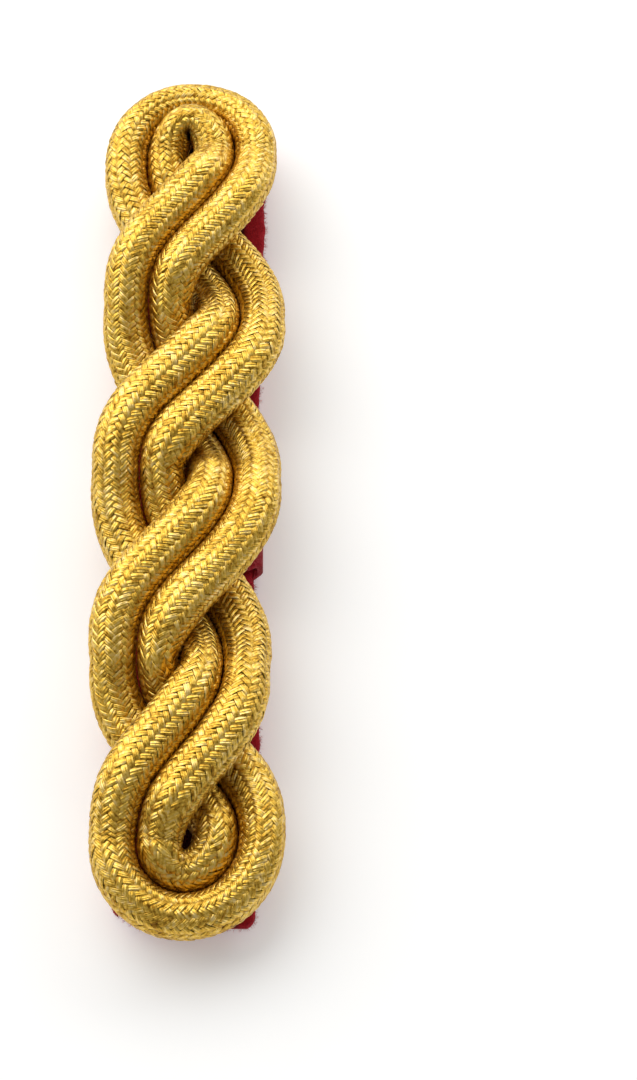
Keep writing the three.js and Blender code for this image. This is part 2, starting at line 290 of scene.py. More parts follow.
# Each cord of a pair has a width and a lift: "east" is the cord on the right, "west" the one on the left.
def turningPoint(k, startsRight):
    onRight = startsRight == (k % 2 == 0)
    level, reach, lift = knot["lobes"][k][int(onRight)]
    outer, inner = (np.array((width, lift)) for width in knot["widths"][k])
    return {
        "x": reach * knot["cordDiameter"] * (1 if onRight else -1),
        "y": (level - 0.5) * knot["length"],
        "east": outer if onRight else inner,
        "west": inner if onRight else outer,
        "nest": 1,
        "slope": knot["lobeSlope"] if 0 < k < len(knot["lobes"]) - 1 else 0,
    }


def endBend(end, crownSign, turn):
    across, width, fullness, nest, *lifts = end
    outer, inner = (np.array((width, lift)) for lift in lifts)
    east, west = (outer, inner) if turn["x"] > 0 else (inner, outer)
    crownWidth = width * knot["cordDiameter"]
    crownX = across * knot["cordDiameter"]
    halfSpace = (crownWidth + knot["cordGap"]) / 2 * nest
    crownY = crownSign * (knot["length"] / 2 - crownWidth / 2 - halfSpace)
    stations = []
    for share in np.linspace(0, 1, knot["stepsPerQuarter"] + 1):
        angle = share * math.pi / 2
        t = smoothStep(share)
        stations.append({
            "x": mix(crownX, turn["x"], abs(math.sin(angle)) ** (2 / fullness)),
            "y": mix(turn["y"], crownY, abs(math.cos(angle)) ** (2 / fullness)),
            "east": mix(east, turn["east"], t),
            "west": mix(west, turn["west"], t),
            "nest": mix(nest, 1, t),
        })
    return stations


def crossOver(start, end, crossing):
    width, snap = crossing
    pressed = np.array((width, 1 if start["x"] > end["x"] else 0))
    stations = []
    for t in np.linspace(0, 1, 2 * knot["stepsPerQuarter"] + 1)[1:-1]:
        near = start if t < 0.5 else end
        c = max(0, (abs(2 * t - 1) - knot["crossingRest"]) / (1 - knot["crossingRest"]))
        release = smoothStep(c) + near["slope"] * (c ** 3 - c ** 2)
        late = t ** 3 * (10 - 15 * t + 6 * t * t)  # a steeper step, level at both ends
        stations.append({
            "x": mix(start["x"], end["x"], mix(smoothStep(t), late, snap)),
            "y": mix(start["y"], end["y"], t),
            "east": mix(pressed, near["east"], release),
            "west": mix(pressed, near["west"], release),
            "nest": 1,
        })
    return stations


def pairStations(startsRight):
    turns = [turningPoint(k, startsRight) for k in range(len(knot["lobes"]))]
    route = endBend(knot["topEnd"], 1, turns[0])
    for k, crossing in enumerate(knot["crossings"]):
        route += crossOver(turns[k], turns[k + 1], crossing)
        if k + 1 < len(knot["crossings"]):
            route.append(turns[k + 1])
    return route + endBend(knot["bottomEnd"], -1, turns[-1])[::-1]


def cordStations(route, side):
    rows = []
    for i, station in enumerate(route):
        before, after = route[max(0, i - 1)], route[min(len(route) - 1, i + 1)]
        dx, dy = after["x"] - before["x"], after["y"] - before["y"]
        run = math.hypot(dx, dy)
        wide, lift = station[side]
        width = wide * knot["cordDiameter"]
        height = knot["cordDiameter"] / wide ** knot["pressStiffness"]
        offset = (width + knot["cordGap"]) / 2 * station["nest"] * (1 if side == "east" else -1)
        z = knot["cordFloor"] + height / 2 + lift * (height + knot["crossingGap"])
        rows.append((station["x"] - dy / run * offset, station["y"] + dx / run * offset, z, width / 2, height / 2))
    return rows


# A cord's halves as one run that starts and ends under the third crossing, in even steps, in metres.
def cordRun(firstHalf, secondHalf, spacing=0.8):
    cut = secondHalf[6 * knot["stepsPerQuarter"]]
    loop = firstHalf[:-1] + secondHalf[::-1][:-1]
    start = loop.index(cut)
    run = np.array(loop[start:] + loop[:start] + [cut])
    along = np.r_[0, np.cumsum(np.linalg.norm(np.diff(run[:, :3], axis=0), axis=1))]
    ends = knot["cordGap"] / 2
    at = np.linspace(ends, along[-1] - ends, round(along[-1] / spacing))
    even = np.stack([np.interp(at, along, column) for column in run.T], axis=1) * mm
    even[:, :2] += knotMiddle
    return even


def unitRows(vectors):
    return vectors / np.linalg.norm(vectors, axis=1)[:, None]


# Draws each point but the ends a little towards its neighbours.
def relaxed(values, rounds):
    values = values.copy()
    for _ in range(rounds):
        values[1:-1] = (values[:-2] + 2 * values[1:-1] + values[2:]) / 4
    return values


# The frame along a run: sideways is level, up is square to the cord, bend is the curvature in plan.
def runFrames(run):
    centre = run[:, :3]
    step = np.gradient(centre, axis=0)
    tangent = unitRows(step)
    side = unitRows(np.stack([-tangent[:, 1], tangent[:, 0], np.zeros(len(run))], axis=1))
    up = np.cross(tangent, side)
    up *= np.sign(up[:, 2:3])
    bend = (np.gradient(tangent, axis=0) * side).sum(1) / np.linalg.norm(step, axis=1)
    return {"centre": centre, "side": side, "up": up, "section": np.c_[run[:, 3:5], relaxed(bend, 3)]}


feltLow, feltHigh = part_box("felt_backing")
backMiddle = (feltLow.x + feltHigh.x) / 2
backShift = 0.27 * mm  # the felt and the leather sit a little to one side of the cords
feltMiddleY = (knot["topEnd"][1] - knot["bottomEnd"][1]) * knot["cordDiameter"] / -4
knotMiddle = np.array([backMiddle - backShift, (feltLow.y + feltHigh.y) / 2 - feltMiddleY * mm])
rightPair, leftPair = pairStations(True), pairStations(False)
routes = {
    "outer": runFrames(cordRun(cordStations(rightPair, "east"), cordStations(leftPair, "west"))),
    "inner": runFrames(cordRun(cordStations(rightPair, "west"), cordStations(leftPair, "east"))),
}
print("routes laid out")


# The point of a cord's skin at a length along it, an angle round it and a depth under it, and how crowded the
# skin is there. The inside of a tight bend is pressed together, as in the solids.
def skinPoint(tree, curve, length, angle, depth):
    def sampled(label, output="Value"):
        return fieldOf(tree, "GeometryNodeSampleCurve", {
            "Curves": curve, "Value": readStored(tree, label, "FLOAT_VECTOR"), "Length": length,
        }, output, mode="LENGTH", data_type="FLOAT_VECTOR")

    halfWidth, halfHeight, bend = partsOf(tree, sampled("section"))
    across = mathNode(tree, "COSINE", angle) * (halfWidth - depth)
    above = mathNode(tree, "SINE", angle) * (halfHeight - depth)
    crowding = across * bend * knot["pinchSlack"]
    pressed = mathNode(tree, "MAXIMUM", crowding, 0) ** knot["pinchPower"]
    room = (pressed + 1) ** (1 / knot["pinchPower"])
    sideways = scaledVector(tree, sampled("side"), across / room)
    upwards = scaledVector(tree, sampled("up"), above)
    return vectorSum(tree, vectorSum(tree, sampled("side", "Position"), sideways), upwards), crowding


# Sizes of the tubular braid: every thread passes over two and under two. Lengths are in millimetres.
braid = {
    "columns": 8,  # pairs of float columns round the cord
    "pitch": 1.16,  # from float to float along a column
    "halfLength": 1.48,  # of a float, in crossings
    "fill": 1.14,  # width of a float to the room it has
    "dive": 0.42,  # how far a float's ends go under
    "divePower": 3.5,
    "edgeDrop": 0.1,
    "edgePower": 6,
    "shingle": 0.16,  # how far one long edge of a float lies under the next float
    "ridge": 0.04,  # depth of the valleys between the flat threads of a float
    "standOut": 0.23,  # how far the braid swells out of the solid's skin
    "jitter": 0.08,
    "patch": (5, 9),  # vertices of a float along and across it
}


def braidValues(direction, seed):
    return {
        "columns": braid["columns"],
        "stepRound": math.pi * knot["cordDiameter"] * mm / (4 * braid["columns"]),
        "direction": direction,
        "halfLength": braid["halfLength"],
        "fill": braid["fill"],
        **inMetres(braid, "pitch", "dive", "edgeDrop", "shingle", "ridge", "standOut", "jitter"),
        "seed": seed,
        "material": gold,
    }


def braidTree():
    tree, inputs = startTree("cordBraid", braidValues(1.0, 0))
    curve = curveOf(tree, inputs)
    length = fieldOf(tree, "GeometryNodeCurveLength", {"Curve": curve})
    rows = mathNode(tree, "FLOOR", length / inputs["pitch"])

    # one float as a flat patch, from -1 to 1 along it and across it
    alongCount, acrossCount = braid["patch"]
    patch = fieldOf(tree, "GeometryNodeMeshGrid", {
        "Size X": 2, "Size Y": 2, "Vertices X": alongCount, "Vertices Y": acrossCount}, "Mesh")
    lengthwise, across, _ = partsOf(tree, fieldOf(tree, "GeometryNodeInputPosition"))
    patch = storeFloats(tree, patch, lengthwise=lengthwise, across=across)

    # one point per float, which knows its column and its row
    points = fieldOf(tree, "GeometryNodePoints", {"Count": rows * inputs["columns"]})
    index = fieldOf(tree, "GeometryNodeInputIndex")
    points = storeFloats(
        tree, points, column=mathNode(tree, "FLOOR", index / rows), row=mathNode(tree, "MODULO", index, rows),
        shade=randomFloat(tree, inputs["seed"]), wobble=randomFloat(tree, inputs["seed"] + 7))
    floats = fieldOf(tree, "GeometryNodeInstanceOnPoints", {"Points": points, "Instance": patch})
    floats = fieldOf(tree, "GeometryNodeRealizeInstances", {"Geometry": floats})

    # where each vertex lies: round the cord in crossings, along it, and above or under its skin
    t, s = readStored(tree, "lengthwise"), readStored(tree, "across")
    direction, stepRound = inputs["direction"], inputs["stepRound"]
    halfPitch = inputs["pitch"] * 0.5
    turned = halfPitch * direction
    slant = mathNode(tree, "SQRT", halfPitch * halfPitch + stepRound * stepRound)
    lean = stepRound / slant
    reach = t * inputs["halfLength"]
    spread = s * (halfPitch * lean * inputs["fill"])
    # the two hands of the braid stand two crossings and half a pitch apart
    crossing = readStored(tree, "column") * 4 + (1.5 - direction) + (reach + spread * (turned / slant) / stepRound)
    rowAt = readStored(tree, "row") + (direction * -0.25 + 0.5)
    along = rowAt * inputs["pitch"] + (spread * lean - turned * reach)
    angle = crossing / inputs["columns"] * (math.pi / 2)
    arch = abs(t) ** braid["divePower"] * inputs["dive"]
    edge = abs(s) ** braid["edgePower"] * inputs["edgeDrop"] + (s * 0.5 + 0.5) * inputs["shingle"]
    valley = (mathNode(tree, "COSINE", s * (4 * math.pi)) * 0.5 + 0.5) * inputs["ridge"]
    shake = readStored(tree, "wobble") * inputs["jitter"]
    depth = arch + edge + (valley + shake) - inputs["standOut"]
    spot, crowding = skinPoint(tree, curve, along, angle, depth)
    placed = fieldOf(tree, "GeometryNodeSetPosition", {"Geometry": floats, "Position": spot})
    placed = storeFloats(tree, placed, tight=crowding)
    for label in ("column", "row", "wobble"):
        placed = fieldOf(tree, "GeometryNodeRemoveAttribute", {"Geometry": placed, "Name": label})
    falling = fieldOf(tree, "FunctionNodeCompare", {0: direction, 1: 0}, data_type="FLOAT", operation="LESS_THAN")
    placed = fieldOf(tree, "GeometryNodeFlipFaces", {"Mesh": placed, "Selection": falling})
    placed = fieldOf(tree, "GeometryNodeStoreNamedAttribute", {
        "Geometry": placed, "Name": "threadMap", "Value": vectorOf(tree, t, s)}, data_type="FLOAT2", domain="CORNER")
    return endTree(tree, placed, inputs["material"])


# The cord under its braid: a tube rolled up along the route.
tubeSizes = {"sides": 20, "rings": 340, "depth": 0.3}


# The middle point of each end cap stays on the route.
def coreTree(values):
    tree, inputs = startTree("cordCore", values)
    curve = curveOf(tree, inputs)
    length = fieldOf(tree, "GeometryNodeCurveLength", {"Curve": curve})
    tube = fieldOf(tree, "GeometryNodeMeshCylinder", {
        "Vertices": inputs["sides"], "Side Segments": inputs["rings"], "Radius": 1, "Depth": 1,
    }, "Mesh", fill_type="TRIANGLE_FAN")
    x, y, z = partsOf(tree, fieldOf(tree, "GeometryNodeInputPosition"))
    inMiddle = mathNode(tree, "LESS_THAN", x * x + y * y, 0.25)
    depth = inputs["depth"] + inMiddle * (knot["cordDiameter"] / 2 * mm)
    spot, crowding = skinPoint(tree, curve, (z + 0.5) * length, mathNode(tree, "ARCTAN2", y, x), depth)
    placed = fieldOf(tree, "GeometryNodeSetPosition", {"Geometry": tube, "Position": spot})
    return endTree(tree, storeFloats(tree, placed, tight=crowding), inputs["material"])


def setShader(material, **values):
    tree = material.node_tree
    for label, value in values.items():
        feed(tree, tree.nodes["Principled BSDF"].inputs[label.replace("_", " ")], value)
    return material


def newMaterial(name, **values):
    material = bpy.data.materials.new(name)
    material.use_nodes = True
    return setShader(material, **values), material.node_tree


def objectPlace(tree):
    return fieldOf(tree, "ShaderNodeTexCoord", None, "Object")


def noiseNode(tree, place, scale, detail=2.0, distortion=0.0):
    return fieldOf(tree, "ShaderNodeTexNoise", {
        "Vector": place, "Scale": scale, "Detail": detail, "Distortion": distortion})


# From 0 to 1 as the value goes from low to high.
def rangeNode(tree, value, low, high=1.0, kind="SMOOTHSTEP"):
    return fieldOf(tree, "ShaderNodeMapRange", {0: value, 1: low, 2: high}, interpolation_type=kind)


def colourRamp(tree, factor, stops):
    node = addNode(tree, "ShaderNodeValToRGB", {"Fac": factor})
    ramp = node.color_ramp
    while len(ramp.elements) < len(stops):
        ramp.elements.new(0.5)
    for element, (place, colour) in zip(ramp.elements, stops):
        element.position = place
        element.color = (*colour, 1)
    return Field(tree, node.outputs["Color"])


def mixColours(tree, factor, first, second):
    return fieldOf(tree, "ShaderNodeMix", {0: factor, 6: first, 7: second}, 2, data_type="RGBA")


def attributeNode(tree, name):
    return fieldOf(tree, "ShaderNodeAttribute", None, "Fac", attribute_name=name, attribute_type="GEOMETRY")


# The depth is in millimetres.
def bumpNode(tree, height, strength, depth):
    return fieldOf(tree, "ShaderNodeBump", {"Height": height, "Strength": strength, "Distance": depth * mm})


# Painted shade: the dark colour mixed in deep inside a tight bend, where the cord's skin is crowded and no light comes.
eyeShade = {"from": 0.62, "to": 1.0, "colour": (0.012, 0.004, 0.001)}


def paintEyeShade(tree, colour):
    tight = rangeNode(tree, attributeNode(tree, "tight"), eyeShade["from"], eyeShade["to"])
    return mixColours(tree, tight, colour, eyeShade["colour"])


# The flat gold threads that lie side by side in each float, and how much their tone differs with each cause.
goldLook = {
    "threads": 3,
    "middleTone": 0.52,
    "floatTone": 0.2,
    "threadTone": 0.5,
    "grainTone": 1.3,
    "coarseTone": 0.9,
    "wearTone": 0.3,
    "grainScale": 2600.0,
    "coarseScale": 1250.0,
    "wearScale": 85.0,
    # painted shade: from edgeFrom a float darkens towards its edge under the next float, and from endFrom towards its
    # ends
    "edgeFrom": 0.5,  # where a float darkens, towards the edge under the next float
    "endFrom": 0.86,
    "slitLeast": 0.35,  # the dark slits between floats open and close
    "slitSpread": 0.6,
    "slitShade": (0.13, 0.05, 0.005),
    "roughLeast": 0.2,
    "roughSpread": 0.3,
    "bump": (0.8, 0.07),  # strength and depth in millimetres
    "metal": [(0.0, (0.27, 0.125, 0.012)), (0.3, (0.6, 0.345, 0.04)), (0.6, (0.84, 0.55, 0.09)),
              (1.0, (0.93, 0.69, 0.27))],
}


def goldThread():
    material, tree = newMaterial("goldThread", Metallic=1.0, Anisotropic=0.55)
    shade, across, lengthwise = (attributeNode(tree, name) for name in ("shade", "across", "lengthwise"))
    place = objectPlace(tree)
    strand = (across * 0.5 + 0.5) * goldLook["threads"]
    number = vectorOf(tree, mathNode(tree, "FLOOR", strand), shade * 173.0)
    thread = fieldOf(tree, "ShaderNodeTexWhiteNoise", {"Vector": number}, "Value", noise_dimensions="2D")
    grain = noiseNode(tree, place, goldLook["grainScale"])
    coarse = noiseNode(tree, place, goldLook["coarseScale"], 1.0)
    wear = noiseNode(tree, place, goldLook["wearScale"], 3.0)
    tone = goldLook["middleTone"]
    for cause, amount in ((shade, "floatTone"), (thread, "threadTone"), (grain, "grainTone"),
                          (coarse, "coarseTone"), (wear, "wearTone")):
        tone = (cause - 0.5) * goldLook[amount] + tone
    metal = colourRamp(tree, tone, goldLook["metal"])
    # Painted shade: each float darkens towards the edge that runs under the next float and towards its ends, more on
    # some floats than on others.
    edge = rangeNode(tree, across, goldLook["edgeFrom"])
    tip = rangeNode(tree, abs(lengthwise), goldLook["endFrom"])
    slitShade = fieldOf(tree, "ShaderNodeTexWhiteNoise", {"W": shade}, "Value", noise_dimensions="1D")
    slitShade = slitShade * goldLook["slitSpread"] + goldLook["slitLeast"]
    shaded = mixColours(tree, mathNode(tree, "MAXIMUM", edge, tip) * slitShade, metal, goldLook["slitShade"])
    # the threads of a float are round, with fine grain on them
    saw = mathNode(tree, "FRACT", strand) - 0.5
    relief = grain * 0.5 + (saw * saw * -2.4 + 0.6)
    along = fieldOf(tree, "ShaderNodeTangent", direction_type="UV_MAP", uv_map="threadMap")
    # the base colour carries painted shade inside tight bends
    return setShader(material, Base_Color=paintEyeShade(tree, shaded), Tangent=along,
                     Roughness=grain * goldLook["roughSpread"] + goldLook["roughLeast"],
                     Normal=bumpNode(tree, relief, *goldLook["bump"]))


def coreThread():
    material, tree = newMaterial("coreThread", Metallic=0.3, Roughness=0.6)
    patches = noiseNode(tree, objectPlace(tree), 900.0)
    body = colourRamp(tree, patches, [(0.3, (0.16, 0.07, 0.01)), (0.7, (0.4, 0.2, 0.04))])
    return setShader(material, Base_Color=paintEyeShade(tree, body))


def finishPiece(piece, slot, *nodes):
    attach(piece, "root")
    if nodes:
        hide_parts(*nodes)
    return piece


gold, core = goldThread(), coreThread()
tubeValues = {"sides": tubeSizes["sides"], "rings": tubeSizes["rings"], **inMetres(tubeSizes, "depth"),
              "material": core}
floatsTree, tubeTree = braidTree(), coreTree(tubeValues)
for number, (label, route) in enumerate(routes.items()):
    line = lineObject(label + "Route", [route["centre"]], {key: route[key] for key in ("side", "up", "section")})
    tube = bakeTree(line, tubeTree, tubeValues, label + "CordCore")
    finishPiece(tube, "gold_braid", label + "_cord")
    for hand, direction, handSeed in (("Climbing", 1.0, 3), ("Falling", -1.0, 0)):
        floats = bakeTree(line, floatsTree, braidValues(direction, 11 * number + handSeed), label + "Braid" + hand)
        finishPiece(floats, "gold_braid")
        print(floats.name, len(floats.data.polygons), "faces")
    bpy.data.objects.remove(line)


# Straps of felt and leather: rows of section points. Each row runs over the top from edge to edge, then back below.
def edgeSteps(low, high, rounding, count):
    near = rounding * np.array([0, 0.12, 0.4, 1])
    return np.r_[low + near, np.linspace(low + rounding, high - rounding, count)[1:-1], high - near[::-1]]


def roundedDrop(inset, rounding):
    short = rounding - np.clip(inset, 0, rounding)
    return rounding - np.sqrt(np.maximum(rounding ** 2 - short ** 2, 0))


def strapRows(levels, leftAt, rightAt, topAt, bottomAt, rounding, count):
    rows, rims = [], []
    for level, fromEnd in zip(levels, np.minimum(levels - levels[0], levels[-1] - levels)):
        x = edgeSteps(leftAt(level), rightAt(level), rounding, count)
        y = np.full(len(x), level)
        inset = np.minimum(np.minimum(x - x[0], x[-1] - x), fromEnd)
        drop = roundedDrop(inset, rounding)
        upper = np.c_[x, y, topAt(x, y) - drop]
        lower = np.c_[x, y, bottomAt(x, y) + drop]
        rows.append(np.r_[upper, lower[::-1]])
        rim = 1 - np.clip(inset / rounding, 0, 1)
        rims.append(np.r_[rim, rim[::-1]])
    return np.array(rows), np.array(rims)


def strapPiece(name, rows, values, material, closed=False):
    count, around = rows.shape[:2]
    index = np.arange(count * around).reshape(count, around).tolist()
    faces = []
    for i in range(count if closed else count - 1):
        here, there = index[i], index[(i + 1) % count]
        faces += [(here[k], there[k], there[k - around + 1], here[k - around + 1]) for k in range(around)]
    if not closed:
        for row in (index[0], index[-1]):
            faces += [(row[k], row[k + 1], row[-2 - k], row[-1 - k]) for k in range(around // 2 - 1)]
    mesh = bpy.data.meshes.new(name)
    mesh.from_pydata((rows.reshape(-1, 3) * mm).tolist(), [], faces)
    for label, numbers in values.items():
        attribute = mesh.attributes.new(label, "FLOAT", "POINT")
        attribute.data.foreach_set("value", np.asarray(numbers, np.float32).ravel())
    mesh.materials.append(material)
    work = bmesh.new()
    work.from_mesh(mesh)
    bmesh.ops.recalc_face_normals(work, faces=work.faces)
    work.to_mesh(mesh)
    work.free()
    return smoothPiece(name, mesh)


def smoothPiece(name, mesh, sharpFrom=50):
    mesh.polygons.foreach_set("use_smooth", [True] * len(mesh.polygons))
    mesh.set_sharp_from_angle(angle=math.radians(sharpFrom))
    return addObject(name, mesh)


def curveThrough(points):
    places, values = zip(*sorted(points))
    return lambda level: float(np.interp(level, places, values))


# Cuts the button hole. The wall of the hole takes the second material.
def withHole(piece, wallMaterial):
    work = bmesh.new()
    radius = hole["diameter"] / 2 * mm
    bmesh.ops.create_cone(work, cap_ends=True, segments=hole["sides"], radius1=radius, radius2=radius,
                          depth=hole["reach"] * mm)
    bmesh.ops.translate(work, verts=work.verts, vec=(backMiddle, hole["level"] * mm, 0))
    mesh = bpy.data.meshes.new("holePunch")
    work.to_mesh(mesh)
    work.free()
    mesh.materials.append(wallMaterial)
    punch = addObject("holePunch", mesh)
    modifier = piece.modifiers.new("buttonHole", "BOOLEAN")
    modifier.operation, modifier.object = "DIFFERENCE", punch
    modifier.solver, modifier.material_mode = "EXACT", "TRANSFER"
    cut, name = evaluatedMesh(piece), piece.name
    for spent in (piece, punch):
        bpy.data.objects.remove(spent)
    return smoothPiece(name, cut)


# Shared by the materials of the back: the leather's pebbles and creases, and slow changes of tone from handling.
def grainGroup():
    group, inputs = newTree(
        "leatherGrain", "ShaderNodeTree", {"Vector": "Vector", "Scale": "Float", "Stretch": "Float"},
        {"Height": "Float", "Speck": "Float"})
    place = fieldOf(group, "ShaderNodeVectorMath", {
        0: inputs["Vector"], 1: vectorOf(group, 1, inputs["Stretch"], 1)}, operation="MULTIPLY")
    pebbles = fieldOf(group, "ShaderNodeTexVoronoi", {"Vector": place, "Scale": inputs["Scale"]}, "Distance",
                      feature="SMOOTH_F1")
    height = noiseNode(group, place, inputs["Scale"] * 1.3, 3.0, 0.8) - pebbles * 0.5
    addNode(group, "NodeGroupOutput", {"Height": height, "Speck": rangeNode(group, height, 0.2, 0.46)})
    return group


def patchGroup():
    group, inputs = newTree(
        "handledTone", "ShaderNodeTree", {"Vector": "Vector", "Scale": "Float", "Amount": "Float"},
        {"Mask": "Float"})
    cloud = noiseNode(group, inputs["Vector"], inputs["Scale"], 4.0)
    addNode(group, "NodeGroupOutput", {"Mask": rangeNode(group, cloud, 0.35, 0.65, "LINEAR") * inputs["Amount"]})
    return group


def groupNode(tree, group, values):
    node = addNode(tree, "ShaderNodeGroup", values, node_tree=group)
    return {socket.name: Field(tree, socket) for socket in node.outputs}


leatherLook = {
    "deep": (0.36, 0.009, 0.019),
    "middle": (0.48, 0.022, 0.038),
    "raised": (0.6, 0.06, 0.08),
    "cut": (0.78, 0.4, 0.34),
    "cutPale": (0.86, 0.66, 0.56),
    # painted shade, mixed into the folds and the seams' grooves
    "foldShadeColour": (0.24, 0.002, 0.008),
    "foldShadeShare": 0.8,  # folds and seams are smoother and darker
    "rimPale": {"tongueLeather": 0.55, "keeperLeather": 0.3},
    "grainScale": 2100.0,
    "grainStretch": 1.25,
    "patchScale": 110.0,
    "patchAmount": 0.45,
    "bittenScale": 700.0,
    "bump": (1.0, 0.16),
}


def redLeather(name):
    material, tree = newMaterial(name, Specular_IOR_Level=0.22)
    place = objectPlace(tree)
    grain = groupNode(tree, leatherGrain, {
        "Vector": place, "Scale": leatherLook["grainScale"], "Stretch": leatherLook["grainStretch"]})
    patch = groupNode(tree, handledTone, {
        "Vector": place, "Scale": leatherLook["patchScale"], "Amount": leatherLook["patchAmount"]})
    body = colourRamp(tree, grain["Speck"], [
        (0.0, leatherLook["deep"]), (0.45, leatherLook["middle"]), (1.0, leatherLook["raised"])])
    body = mixColours(tree, patch["Mask"], body, leatherLook["deep"])
    # Painted shade in the folds and in the seams' grooves.
    body = mixColours(tree, attributeNode(tree, "foldShade") * leatherLook["foldShadeShare"], body, leatherLook["foldShadeColour"])
    bitten = rangeNode(tree, noiseNode(tree, place, leatherLook["bittenScale"], 3.0), 0.5, 0.7, "LINEAR")
    worn = attributeNode(tree, "rim") * bitten * leatherLook["rimPale"][name]
    return setShader(material, Base_Color=mixColours(tree, worn, body, leatherLook["cut"]),
                     Roughness=grain["Speck"] * -0.16 + 0.66,
                     Normal=bumpNode(tree, grain["Height"], *leatherLook["bump"]))


def cutLeather():
    material, tree = newMaterial("cutLeather", Roughness=0.85)
    fibres = noiseNode(tree, objectPlace(tree), 1800.0, 3.0)
    return setShader(material, Base_Color=mixColours(tree, fibres, leatherLook["cut"], leatherLook["cutPale"]),
                     Normal=bumpNode(tree, fibres, 0.6, 0.1))


feltLook = {
    "body": [(0.3, (0.25, 0.004, 0.01)), (0.52, (0.45, 0.012, 0.022)), (0.75, (0.64, 0.042, 0.055))],
    "handled": (0.2, 0.002, 0.008),
    "shaded": (0.012, 0.001, 0.001),
    "shadeShare": 0.95,
    "napScale": 2600.0,
    "tuftScale": 480.0,
    "patchScale": 70.0,
    "patchAmount": 0.4,
    "bump": (0.9, 0.16),
    "fibre": [(0.0, (0.24, 0.002, 0.01)), (0.6, (0.46, 0.012, 0.028)), (1.0, (0.7, 0.09, 0.12))],
    "silk": [(0.3, (0.2, 0.004, 0.012)), (0.7, (0.55, 0.03, 0.05))],
}


def redFelt():
    material, tree = newMaterial("redFelt", Roughness=0.92, Specular_IOR_Level=0.15, Sheen_Weight=0.22,
                                 Sheen_Roughness=0.45, Sheen_Tint=(1.0, 0.25, 0.3))
    place = objectPlace(tree)
    nap = noiseNode(tree, place, feltLook["napScale"], 4.0, 1.2)
    tufts = noiseNode(tree, place, feltLook["tuftScale"])
    patch = groupNode(tree, handledTone, {
        "Vector": place, "Scale": feltLook["patchScale"], "Amount": feltLook["patchAmount"]})
    body = colourRamp(tree, tufts * 0.4 + nap * 0.6, feltLook["body"])
    body = mixColours(tree, patch["Mask"], body, feltLook["handled"])
    shade = attributeNode(tree, "covered") * feltLook["shadeShare"]
    return setShader(material, Base_Color=mixColours(tree, shade, body, feltLook["shaded"]),
                     Normal=bumpNode(tree, tufts * 1.5 + nap, *feltLook["bump"]))


def redFibre():
    material, tree = newMaterial("redFibre", Roughness=0.8, Specular_IOR_Level=0.2)
    return setShader(material, Base_Color=colourRamp(tree, attributeNode(tree, "fibreTone"), feltLook["fibre"]))


def redSilk():
    material, tree = newMaterial("redSilk", Roughness=0.45, Specular_IOR_Level=0.5)
    plies = noiseNode(tree, objectPlace(tree), 2800.0)
    return setShader(material, Base_Color=colourRamp(tree, plies, feltLook["silk"]),
                     Normal=bumpNode(tree, plies, 0.4, 0.05))


leatherGrain, handledTone = grainGroup(), patchGroup()
feltCloth, fibre, silk = redFelt(), redFibre(), redSilk()
tongueLeather, keeperLeather = redLeather("tongueLeather"), redLeather("keeperLeather")
cutEdge = cutLeather()

# The button hole goes through the tongue and the felt. From here on levels run along the strip, in millimetres.
tongueLow, tongueHigh = (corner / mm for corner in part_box("leather_tongue"))
keeperLow, keeperHigh = (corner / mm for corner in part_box("keeper_band"))
hole = {"diameter": 5.8, "inset": 11.2, "sides": 64, "reach": 30}
hole["level"] = feltHigh.y / mm - hole["inset"]

keeper = {
    "thickness": 0.9,
    "length": 9.8,
    "round": 1.6,
    "skew": math.tan(math.radians(6)),
    "bow": 0.25,  # how far its edges curve towards the sewn end at the sides
    "edge": 0.25,
    "tuck": 1.3,  # how far its lower edge is drawn up at the collar side's fold
    "foldShadeRun": 1.6,
    "level": (keeperLow.y + keeperHigh.y) / 2,
    "half": (keeperHigh.x - keeperLow.x) / 2,
    "top": keeperHigh.z,
    "arcSteps": 8,
    "flatSteps": 40,
}


def keeperLevel(x):
    return keeper["level"] - keeper["skew"] * x - keeper["bow"] * (x / keeper["half"]) ** 2


# The felt strip. Its two edges wander as they do in the photograph, and the keeper presses it.
felt = {
    "low": feltLow.z / mm,
    "high": feltHigh.z / mm,
    # rounding of the corners on the collar side and on the button side
    "topCorners": (2.4, 1.3),
    "footCorners": (1.8, 4.6),
    "edge": 0.75,
    "press": 1.1,
    "pressRun": 2.2,
    "lump": 0.05,
    "lumpRoom": 0.06,  # keeps the lumps within the strip's thickness
    # level from the collar end's edge in shares of the length, and half width in millimetres
    "collarSide": [(0, 9.97), (0.16, 10.07), (0.37, 9.4), (0.5, 9.0), (0.59, 8.95), (0.7, 9.4), (0.79, 9.93),
                   (0.9, 9.8), (1, 9.5)],
    "buttonSide": [(0, 9.8), (0.35, 9.85), (0.5, 9.0), (0.58, 9.0), (0.68, 9.95), (0.85, 10.0), (1, 10.05)],
    "wander": 0.1,
    "overhang": 0.8,  # how far its foot runs out past the solid's
    "napShare": 0.35,  # of the bare back, to the edge's nap
    "shadeFrom": 0.5,  # from a cord's side to where the cord's shade begins to fade
    "shadeRun": 0.7,
    "shadeReach": 1.0,  # how far along the strip cords on both sides are looked for
    "shadeHalf": 7.6,  # the shade stays this near the middle line, so that the strip's edges keep their red
}


